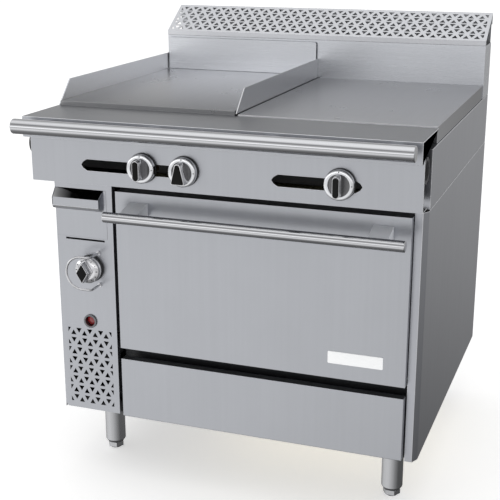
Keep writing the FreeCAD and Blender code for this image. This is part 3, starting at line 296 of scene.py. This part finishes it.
def groundPlate(name, paintedReflection):
    smooth, rough = plateWork["roughness"]
    finish = Finish(name, plateWork["color"], 1.0, smooth)
    swirl = finish.noise(noGrain, plateWork["swirl"], 5, 0.6)
    grinding = finish.noise(deepGrain, plateWork["grinding"], 3)
    tint = finish.ramp(swirl, [(0.3, plateWork["dark"]), (0.7, plateWork["pale"])])
    lines = finish.ramp(grinding, [(0.3, (plateWork["groove"],) * 3), (0.7, (1, 1, 1))])
    ground = finish.multiply(tint, lines)
    # the plate's colour is painted lighter and darker from front to back: painted reflection and shade
    finish.link(finish.paintShadeAlong(ground, "Y", plateWork["ends"], paintedReflection), "Base Color")
    finish.link(finish.spread(swirl, smooth, rough), "Roughness")
    finish.set("Specular Tint", (*plateWork["sheen"], 1))
    finish.bump(grinding, plateWork["bump"], plateWork["depth"])
    return finish.material


polishedLooks = {
    "polished_steel": {"color": (0.60, 0.605, 0.625), "roughness": 0.075, "grain": longGrain},
    "knob_chrome": {"color": (0.78, 0.78, 0.80), "roughness": 0.18},
    "knobRing": {"color": (0.84, 0.85, 0.875), "roughness": 0.20},
    "wire": {"color": (0.70, 0.70, 0.72), "roughness": 0.20},
    "ringGrey": {"color": (0.21, 0.215, 0.225), "roughness": 0.35},
    "brass": {"color": (0.62, 0.44, 0.18), "roughness": 0.28},
    # the control casings are painted near-black: painted shade of the dark service compartment
    "control_casing": {"color": (0.10, 0.10, 0.105), "roughness": 0.50},
}


def polishedMetal(name, color, roughness, grain=noGrain):
    finish = Finish(name, color, 1.0, roughness)
    wear = finish.noise(grain, 60, 4)
    lines = finish.noise(grain, 700, 2)
    dark = tuple(0.94 * value for value in color)
    finish.link(finish.ramp(wear, [(0.3, dark), (0.7, color)]), "Base Color")
    finish.link(finish.spread(wear, roughness * 0.8, roughness * 1.35), "Roughness")
    finish.bump(lines, 0.05, 0.0001)
    return finish.material


paintLooks = {
    "black_inlay": {"color": (0.003, 0.003, 0.003), "roughness": 0.35, "peel": 0.02, "scale": 300,
                    "gloss": 0.12},
    "bezel": {"color": (0.008, 0.008, 0.009), "roughness": 0.42},
    # a near-black sheet standing in for the dark inside the range: painted shade
    "darkSheet": {"color": (0.014, 0.015, 0.018), "roughness": 0.45},
    # pale grey paint standing in for the brackets' steel: a painted reflection of the door
    "bracketSteel": {"color": (0.60, 0.615, 0.65), "roughness": 0.35},
    "ink": {"color": (0.006, 0.006, 0.006), "roughness": 0.5},
    "badge": {"color": (0.95, 0.96, 0.97), "roughness": 0.32, "peel": 0.02, "scale": 300, "coat": 0.2},
    "frame_steel": {"color": (0.016, 0.016, 0.017), "roughness": 0.5},
}


def paint(name, color, roughness, peel=0.10, scale=260, coat=0.0, gloss=0.5):
    finish = Finish(name, color, 0.0, roughness)
    skin = finish.noise(noGrain, scale, 3)
    dust = finish.noise(noGrain, 6, 4)
    pale = tuple(min(1, value * 1.25 + 0.006) for value in color)
    finish.link(finish.ramp(dust, [(0.35, color), (0.75, pale)]), "Base Color")
    finish.link(finish.spread(skin, roughness - 0.05, roughness + 0.07), "Roughness")
    finish.set("Coat Weight", coat)
    finish.set("Specular IOR Level", gloss)
    finish.bump(skin, peel, 0.0004)
    return finish.material


def speckledEnamel(name):
    finish = Finish(name, (0.022, 0.023, 0.030), 0.0, 0.22)
    specks = finish.noise(noGrain, 420, 1)
    finish.link(finish.ramp(specks, [(0.60, (0.020, 0.021, 0.028)), (0.66, (0.30, 0.31, 0.34))]),
                "Base Color")
    finish.set("Coat Weight", 0.4)
    finish.bump(finish.noise(noGrain, 60, 3), 0.08, 0.0006)
    return finish.material


def wovenRope(name):
    finish = Finish(name, (0.10, 0.10, 0.10), 0.0, 0.85)
    wave = finish.tree.nodes.new("ShaderNodeTexWave")
    wave.inputs["Scale"].default_value = 90
    wave.inputs["Distortion"].default_value = 1.5
    wave.bands_direction = "DIAGONAL"
    finish.tree.links.new(finish.coords, wave.inputs["Vector"])
    finish.link(finish.ramp(wave.outputs["Fac"], [(0.2, (0.05, 0.05, 0.05)), (0.8, (0.22, 0.21, 0.20))]),
                "Base Color")
    finish.bump(wave.outputs["Fac"], 0.6, 0.001)
    return finish.material


def mineralWool(name):
    finish = Finish(name, (0.62, 0.55, 0.36), 0.0, 0.95)
    fibres = finish.noise((1, 0.2, 1), 180, 5, 0.7)
    finish.link(finish.ramp(fibres, [(0.3, (0.45, 0.38, 0.22)), (0.7, (0.75, 0.68, 0.48))]), "Base Color")
    finish.bump(fibres, 0.8, 0.002)
    return finish.material


def galvanised(name):
    finish = Finish(name, (0.42, 0.43, 0.44), 1.0, 0.42)
    cells = finish.tree.nodes.new("ShaderNodeTexVoronoi")
    cells.inputs["Scale"].default_value = 55
    finish.tree.links.new(finish.coords, cells.inputs["Vector"])
    finish.link(finish.ramp(cells.outputs["Color"], [(0.1, (0.36, 0.37, 0.39)), (0.9, (0.50, 0.51, 0.53))]),
                "Base Color")
    finish.link(finish.spread(cells.outputs["Distance"], 0.36, 0.50, 0.0, 1.0), "Roughness")
    return finish.material


ironLooks = {"burner_iron": {"color": (0.035, 0.033, 0.032), "aged": (0.11, 0.065, 0.045)},
             "black_pipe": {"color": (0.045, 0.045, 0.048), "aged": (0.09, 0.09, 0.095)}}


def castIron(name, color, aged):
    finish = Finish(name, color, 0.0, 0.75)
    sand = finish.noise(noGrain, 500, 4, 0.7)
    rust = finish.noise(noGrain, 18, 5)
    finish.link(finish.ramp(rust, [(0.4, color), (0.75, aged)]), "Base Color")
    finish.bump(sand, 0.5, 0.0006)
    return finish.material


# the lens is its own deep red, darkened further as painted shade of the deep-set button in its bezel
def redLens(name):
    finish = Finish(name, (0.42, 0.012, 0.014), 0.0, 0.12)
    depth = finish.noise(noGrain, 90, 3)
    finish.link(finish.ramp(depth, [(0.3, (0.20, 0.004, 0.005)), (0.7, (0.36, 0.012, 0.014))]),
                "Base Color")
    finish.set("Coat Weight", 0.8)
    finish.set("Coat Roughness", 0.05)
    return finish.material


allLooks = ((brushedSteel, brushedLooks), (groundPlate, plateLooks), (polishedMetal, polishedLooks),
            (paint, paintLooks), (castIron, ironLooks))
otherMakers = {"red_button": redLens, "galvanised": galvanised, "oven_enamel": speckledEnamel,
               "insulation": mineralWool, "gasket": wovenRope}


def makeFinishes():
    made = {name: maker(name) for name, maker in otherMakers.items()}
    for maker, looks in allLooks:
        for name, look in looks.items():
            made[name] = maker(name, **look)
    return made


# pieces made from the CAD shapes, and how wide their edges are softened, in mm
softEdges = {
    "door_outer_panel": 2.5, "kick_panel": 1.6, "control_panel": 1.2, "front_ledge": 2.0,
    "body_side_left": 1.0, "body_side_right": 1.2, "upper_side_left": 1.2,
    "upper_side_right": 1.2, "rear_panel": 0.5, "backguard": 0.8, "griddle_plate": 2.0,
    "griddle_splash_left": 0.6, "griddle_splash_right": 0.8, "griddle_back_splash": 0.4,
    "hot_top_plate": 1.2, "door_handle_brackets": 1.5, "belly_bar_posts": 1.0,
    "oven_front_frame": 1.0, "door_inner_liner": 0.6, "door_gasket": 2.4, "knob_bezels": 0.8,
    "pilot_button_bezel": 1.0, "legs": 0.8, "foot_front_left": 1.0, "foot_front_right": 1.0,
    "foot_rear_left": 1.0, "foot_rear_right": 1.0, "base_frame": 0.8, "top_gas_valves": 1.2,
    "oven_thermostat": 1.5, "oven_safety_valve": 1.5, "hinge_receivers": 0.8, "door_hinge_pins": 0.5,
    "gas_manifold": 1.0, "flue_duct": 0.6, "oven_cavity": 0.4, "oven_deck": 0.8, "rack_guides": 0.4,
    "top_burners": 0.6, "oven_burner": 0.8, "burner_box": 0.8, "belly_bar": 2.0, "door_handle_bar": 2.5,
}

# near is in metres, flat and angle in degrees, and facing is how squarely a face looks one way
softening = {"near": 1e-5, "flat": 0.5, "segments": 2, "angle": 32, "facing": 0.9}

# pieces, and faces of a piece that look one way, with a finish other than their slot's
# the oven front frame, and the inner face of the left body side below, are painted near-black: painted
# shade
otherFinish = {"oven_front_frame": "darkSheet", "pilot_button_bezel": "ringGrey",
               # the divider gets a darker copy of the splash steel as painted shade, and the hot top a copy
               # of the plate with its own painted reflection
               "hot_top_plate": "hotPlate", "griddle_splash_right": "dividerSteel",
               # the handle brackets are painted pale: a painted reflection of the door
               "door_handle_brackets": "bracketSteel"}
# the ledge's front faces take the paler front steel while its top keeps the darker ledge steel: painted
# shade
turnedFinish = {"front_ledge": ((0, -1, 0), "front_stainless"), "body_side_left": ((1, 0, 0), "darkSheet"),
                # the left griddle splash's inner face is painted paler: painted light
                "griddle_splash_left": ((1, 0, 0), "sideSplash")}
# folded or sheared edges whose bevels get a near-white copy of the steel: a painted highlight
brightEdges = ("front_ledge", "upper_side_left", "upper_side_right", "body_side_right", "control_panel")


def finishObject(name, bm, node, materials, smoothAngle=32):
    mesh = bpy.data.meshes.new(name)
    for face in bm.faces:
        face.smooth = True
    bm.to_mesh(mesh)
    bm.free()
    mesh.set_sharp_from_angle(angle=math.radians(smoothAngle))
    for material in materials:
        mesh.materials.append(finishes[material])
    piece = bpy.data.objects.new(name, mesh)
    scene.collection.objects.link(piece)
    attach(piece, bodyOf[node])
    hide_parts(node)
    return piece


panLook = {"inset": 0.0032, "above": 0.0051, "sheet": 0.0012, "past": 0.16}    # in metres


def floorPan(bm):    # closes the bottom of the service compartment, resting on the frame
    low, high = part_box("base_frame")
    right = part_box("service_panel")[1][0] + panLook["past"]
    inset = panLook["inset"]
    size = Vector((right - low[0] - inset, high[1] - low[1] - 2 * inset, panLook["sheet"]))
    corner = Vector((low[0] + inset, low[1] + inset, low[2] + panLook["above"]))
    bmesh.ops.create_cube(bm, size=1, matrix=Matrix.LocRotScale(corner + size / 2, None, size))


def softenNode(node, width):
    bm = bmesh.new()
    bm.from_mesh(nodes[node].data)
    bmesh.ops.remove_doubles(bm, verts=bm.verts[:], dist=softening["near"])
    bmesh.ops.dissolve_limit(bm, angle_limit=math.radians(softening["flat"]), verts=bm.verts[:],
                             edges=bm.edges[:], use_dissolve_boundaries=False)
    if node == "base_frame":
        floorPan(bm)
    looks = [otherFinish.get(node, slotOf[node])]
    if node in turnedFinish:
        way, other = turnedFinish[node]
        looks.append(other)
        for face in bm.faces:
            face.material_index = int(face.normal.dot(Vector(way)) > softening["facing"])
    if node in brightEdges:
        looks.append("bentSheet")
    piece = finishObject(node + "_soft", bm, node, looks)
    bevel = piece.modifiers.new("soft edges", "BEVEL")
    bevel.width = width / 1000
    bevel.material = len(looks) - 1 if node in brightEdges else -1
    bevel.segments = softening["segments"]
    bevel.limit_method = "ANGLE"
    bevel.angle_limit = math.radians(softening["angle"])
    bevel.harden_normals = True
    bevel.use_clamp_overlap = True


# knobs, button, badge and cover; every measure from here on is in mm
def mid(node):    # middle of a node across and up, and its front and back
    low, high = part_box(node)
    return (500 * (low[0] + high[0]), 500 * (low[2] + high[2]), 1000 * low[1], 1000 * high[1])


def lathe(bm, profile, x, z, steps=72):    # profile is a list of (radius, depth)
    part = bmesh.new()
    verts = [part.verts.new(((x + radius) / 1000, depth / 1000, z / 1000)) for radius, depth in profile]
    edges = [part.edges.new(pair) for pair in zip(verts, verts[1:])]
    bmesh.ops.spin(part, geom=verts + edges, cent=(x / 1000, 0, z / 1000), axis=(0, 1, 0), dvec=(0, 0, 0),
                   angle=2 * math.pi, steps=steps, use_merge=True)
    bmesh.ops.remove_doubles(part, verts=part.verts[:], dist=1e-6)
    bmesh.ops.recalc_face_normals(part, faces=part.faces[:])
    joinInto(bm, part)


def joinInto(bm, part, material=0):
    for face in part.faces:
        face.material_index = material
    mesh = bpy.data.meshes.new("part")
    part.to_mesh(mesh)
    part.free()
    bm.from_mesh(mesh)
    bpy.data.meshes.remove(mesh)


def prism(bm, points, x, z, front, back, cornerRound, edgeRound, material=0):
    part = bmesh.new()
    verts = [part.verts.new(((x + across) / 1000, front / 1000, (z + up) / 1000)) for across, up in points]
    part.faces.new(verts)
    if cornerRound:
        bmesh.ops.bevel(part, geom=verts, offset=cornerRound / 1000, offset_type="OFFSET", segments=5,
                        profile=0.5, material=-1, affect="VERTICES")
    grown = bmesh.ops.extrude_face_region(part, geom=part.faces[:])
    newVerts = [item for item in grown["geom"] if isinstance(item, bmesh.types.BMVert)]
    bmesh.ops.translate(part, verts=newVerts, vec=(0, (back - front) / 1000, 0))
    bmesh.ops.recalc_face_normals(part, faces=part.faces[:])
    if edgeRound:
        rim = [edge for edge in part.edges
               if all(abs(vert.co.y - front / 1000) < 1e-7 for vert in edge.verts)]
        bmesh.ops.bevel(part, geom=rim, offset=edgeRound / 1000, offset_type="OFFSET", segments=3,
                        profile=0.5, material=-1, affect="EDGES")
    joinInto(bm, part, material)


def capsulePoints(width, height, steps=14):
    straight = (height - width) / 2
    points = []
    for turn in range(2 * steps):
        angle = math.pi * (turn + 0.5) / steps
        lift = straight if turn < steps else -straight
        points.append((width / 2 * math.cos(angle), width / 2 * math.sin(angle) + lift))
    return points


def wedgePoints(top, bottom, height):
    return [(-bottom / 2, -height / 2), (bottom / 2, -height / 2),
            (top / 2, height / 2), (-top / 2, height / 2)]


def diamondPoints(width, height):
    return [(0, -height / 2), (width / 2, 0), (0, height / 2), (-width / 2, 0)]


inlayLook = {"thick": 1.2, "edge": 0.35}


def addInlay(knob, points, x, z, front, corner):
    node = knob + "_inlay"
    bm = bmesh.new()
    prism(bm, points, x, z, front, front + inlayLook["thick"], corner, inlayLook["edge"])
    finishObject(node + "_raised", bm, node, ["black_inlay"])


knobLook = {"grip": 23, "skirt": 12, "radius": 33, "stem": 4, "dish": 23.6, "dishDepth": 3, "step": 7.0,
            "ringDepth": 1.3, "dotRadius": 1.3, "dotAt": 28.4, "dotSides": 12}
# outline, sizes of the grip's body, cap and inlay, and how far their corners are rounded
roundGrip = {"outline": capsulePoints, "body": (17, 47), "cap": (16, 46), "inlay": (13.8, 43.5),
             "corner": 0, "inlayCorner": 0}
wedgeGrip = {"outline": wedgePoints, "body": (13, 34, 47), "cap": (12, 33, 46), "inlay": (9, 30, 43.5),
             "corner": 4.5, "inlayCorner": 4.0}
topKnobs = {"griddle_valve_knob": roundGrip, "griddle_thermostat_knob": wedgeGrip,
            "hot_top_valve_knob": roundGrip}


def makeTopKnob(node, grip):
    x, z, front, back = mid(node)
    face = front + knobLook["grip"]
    rear = face + knobLook["skirt"]
    radius = knobLook["radius"]
    stem = knobLook["stem"]
    dish = knobLook["dish"]
    floor = face + knobLook["dishDepth"]
    bm = bmesh.new()
    lathe(bm, [(0, back), (stem, back), (stem, rear), (radius - 0.8, rear), (radius, rear - 0.8),
               (radius, face + 4.0), (radius - 0.3, face + 2.4), (radius - 1.2, face + 1.2),
               (radius - 2.6, face + 0.5), (dish + 3.0, face), (dish + 0.9, face + 0.1),
               (dish + 0.2, face + 0.7), (dish - 0.1, floor), (0, floor)], x, z)
    for ring in bm.faces:
        depth = ring.calc_center_median().y * 1000
        if abs(depth - floor) < 0.05 and ring.normal.y < -0.9:    # the floor of the dish
            ring.material_index = 1
        elif depth < face + knobLook["ringDepth"]:
            ring.material_index = 3
    step = front + knobLook["step"]
    outline = grip["outline"]
    prism(bm, outline(*grip["body"]), x, z, step, floor + 0.2, grip["corner"], 1.4)
    prism(bm, outline(*grip["cap"]), x, z, front + 0.5, step + 1.5, grip["corner"], 0.5)
    sides = knobLook["dotSides"]
    dot = [(knobLook["dotRadius"] * math.cos(2 * math.pi * side / sides),
            knobLook["dotRadius"] * math.sin(2 * math.pi * side / sides)) for side in range(sides)]
    for across, up in ((0, knobLook["dotAt"]), (knobLook["dotAt"], 0)):
        prism(bm, dot, x + across, z + up, face - 0.1, face + 2.5, 0, 0, 2)
    finishObject(node + "_turned", bm, node, ["knob_chrome", "knob_dish", "ink", "knobRing"])
    addInlay(node, outline(*grip["inlay"]), x, z, front, grip["inlayCorner"])


dialLook = {"grip": 24, "depth": 18, "radius": 31.5, "stem": 4, "foot": (37, 55), "body": (33.5, 52),
            "cap": (31, 49), "inlay": (28, 45), "ticks": 12, "tickFrom": 24.0, "tickTo": 28.4,
            "tickWidth": 1.3, "shortTick": 0.6}


def makeOvenKnob(node):
    x, z, front, back = mid(node)
    face = front + dialLook["grip"]
    rear = face + dialLook["depth"]
    radius = dialLook["radius"]
    stem = dialLook["stem"]
    bm = bmesh.new()
    lathe(bm, [(0, back), (stem, back), (stem, rear), (radius - 0.8, rear), (radius, rear - 0.8),
               (radius, rear - 5), (radius - 1.0, rear - 5.6), (radius - 1.0, rear - 6.6),
               (radius, rear - 7.2), (radius, face + 4.6), (radius - 0.5, face + 3.6),
               (radius - 2, face + 2.6), (22.5, face + 0.3), (21.5, face), (0, face)], x, z)
    prism(bm, diamondPoints(*dialLook["foot"]), x, z, face - 4, face + 1, 2.0, 1.0)
    prism(bm, diamondPoints(*dialLook["body"]), x, z, front + 6, face, 1.6, 1.6)
    prism(bm, diamondPoints(*dialLook["cap"]), x, z, front + 0.5, front + 7.5, 1.4, 0.5)
    along = (dialLook["tickFrom"] + dialLook["tickTo"]) / 2
    longest = (dialLook["tickTo"] - dialLook["tickFrom"]) / 2
    half = dialLook["tickWidth"] / 2
    for step in range(dialLook["ticks"]):    # every third tick is a long one
        angle = 2 * math.pi * step / dialLook["ticks"]
        long = longest * (1.0 if step % 3 == 0 else dialLook["shortTick"])
        spots = []
        for outward, sideways in ((-long, -half), (long, -half), (long, half), (-long, half)):
            spots.append(((along + outward) * math.sin(angle) + sideways * math.cos(angle),
                          (along + outward) * math.cos(angle) - sideways * math.sin(angle)))
        prism(bm, spots, x, z, face + 0.3, face + 2.4, 0, 0, 1)
    finishObject(node + "_turned", bm, node, ["knob_chrome", "ink"])
    addInlay(node, diamondPoints(*dialLook["inlay"]), x, z, front, 1.2)


buttonLook = {"radius": 12, "dome": 1.2, "edge": 1.6}


def makePilotButton(node):
    x, z, front, back = mid(node)
    radius = buttonLook["radius"]
    edge = buttonLook["edge"]
    dome = buttonLook["dome"]
    bm = bmesh.new()
    lathe(bm, [(0, front), (radius * 0.4, front + 0.15 * dome), (radius * 0.7, front + 0.5 * dome),
               (radius - edge, front + dome), (radius - 0.4 * edge, front + dome + 0.3 * edge),
               (radius, front + dome + edge), (radius, back), (0, back)], x, z)
    finishObject(node + "_dome", bm, node, ["red_button"])


badgeLook = {"corner": 3.0, "edge": 0.8}


def makeBadge(node):
    low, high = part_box(node)
    x, z, front, back = mid(node)
    halfWidth = 500 * (high[0] - low[0])
    halfHeight = 500 * (high[2] - low[2])
    corners = [(-halfWidth, -halfHeight), (halfWidth, -halfHeight),
               (halfWidth, halfHeight), (-halfWidth, halfHeight)]
    bm = bmesh.new()
    prism(bm, corners, x, z, front, back, badgeLook["corner"], badgeLook["edge"])
    finishObject(node + "_plate", bm, node, ["badge"])


# access cover, formed from one sheet: flat below, bulging forward as a pull above
coverLook = {"sheet": 1.5, "shallow": 8, "bend": 66.5, "bendHeight": 12, "lip": 97.5, "flareFrom": 12.5,
             "flareTo": 6.0, "columns": 66, "rows": 80}
# the left end of the pull is a ramp that curves down into it
rampLook = {"width": 62, "depth": 17, "sheet": 0.8, "curve": 1.7, "inset": 1.2, "below": 0.3, "short": 0.4,
            "columns": 24, "rows": 12}


def makeAccessCover(node):
    low, high = (1000 * Vector(corner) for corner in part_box(node))
    low.y += coverLook["shallow"]
    flat = high.y - coverLook["sheet"]
    bulge = flat - low.y
    width = high.x - low.x
    height = high.z - low.z
    bend = coverLook["bend"]
    lip = coverLook["lip"]
    bm = bmesh.new()
    bmesh.ops.create_grid(bm, x_segments=coverLook["columns"], y_segments=coverLook["rows"], size=0.5)
    for vert in bm.verts:
        across = (vert.co.x + 0.5) * width
        fromRight = width - across
        flare = (fromRight - coverLook["flareTo"]) / (coverLook["flareFrom"] - coverLook["flareTo"])
        flare = min(1, max(0, flare))
        flare = 3 * flare ** 2 - 2 * flare ** 3
        up = (vert.co.y + 0.5) * (lip + (height - lip) * (1 - flare))
        rise = min(1, max(0, (up - bend) / coverLook["bendHeight"]))
        forward = bulge * math.sin(rise * math.pi / 2) * flare
        vert.co = ((low.x + across) / 1000, (flat - forward) / 1000, (low.z + up) / 1000)
    bmesh.ops.recalc_face_normals(bm, faces=bm.faces[:])
    if sum(face.normal.y for face in bm.faces) > 0:
        bmesh.ops.reverse_faces(bm, faces=bm.faces[:])
    bmesh.ops.solidify(bm, geom=bm.faces[:], thickness=coverLook["sheet"] / 1000)
    for face in bm.faces:    # the underside of the bend gets the near-white sheet: painted light where it faces down into shade
        face.material_index = int(face.normal.y < -0.1 and face.normal.z < -0.25)
    cheek = [(flat, bend), (low.y + 3, bend + 4.5), (low.y, bend + coverLook["bendHeight"]), (low.y, lip),
             (flat, height), (high.y, height), (high.y, bend)]
    part = bmesh.new()    # a cheek closes the left end
    part.faces.new([part.verts.new((low.x / 1000, y / 1000, (low.z + up) / 1000)) for y, up in cheek])
    grown = bmesh.ops.extrude_face_region(part, geom=part.faces[:])
    moved = [item for item in grown["geom"] if isinstance(item, bmesh.types.BMVert)]
    bmesh.ops.translate(part, verts=moved, vec=(coverLook["sheet"] / 1000, 0, 0))
    bmesh.ops.recalc_face_normals(part, faces=part.faces[:])
    joinInto(bm, part)
    part = bmesh.new()
    bmesh.ops.create_grid(part, x_segments=rampLook["columns"], y_segments=rampLook["rows"], size=0.5)
    for vert in part.verts:
        inward = vert.co.x + 0.5
        back = vert.co.y + 0.5
        rim = lip + (height - lip) * back - rampLook["below"]
        vert.co = ((low.x + rampLook["inset"] + rampLook["width"] * inward) / 1000,
                   (low.y + rampLook["inset"] + (bulge - rampLook["short"]) * back) / 1000,
                   (low.z + rim - rampLook["depth"] * inward ** rampLook["curve"]) / 1000)
    bmesh.ops.recalc_face_normals(part, faces=part.faces[:])
    if sum(face.normal.z for face in part.faces) < 0:
        bmesh.ops.reverse_faces(part, faces=part.faces[:])
    bmesh.ops.solidify(part, geom=part.faces[:], thickness=rampLook["sheet"] / 1000)
    # the ramp takes the pale sheet, painted light at its left end and painted dark deeper into the pull
    joinInto(bm, part, 2)
    finishObject(node + "_formed", bm, node, ["front_stainless", "bentSheet", "pullSheet"], 40)


makeCamera()
makeWorld()
makeFloor()
scene.view_settings.view_transform = "Standard"
print("camera, studio and floor made")
finishes = makeFinishes()
print("finishes made:", len(finishes))

for node, item in nodes.items():
    item.data.materials.clear()
    item.data.materials.append(finishes[slotOf[node]])
for node, width in softEdges.items():
    softenNode(node, width)
print("edges softened:", len(softEdges), "pieces")
for node, grip in topKnobs.items():
    makeTopKnob(node, grip)
makeOvenKnob("oven_thermostat_knob")
makePilotButton("pilot_button")
makeBadge("door_badge")
makeAccessCover("access_cover")
print("knobs, button, badge and cover made")
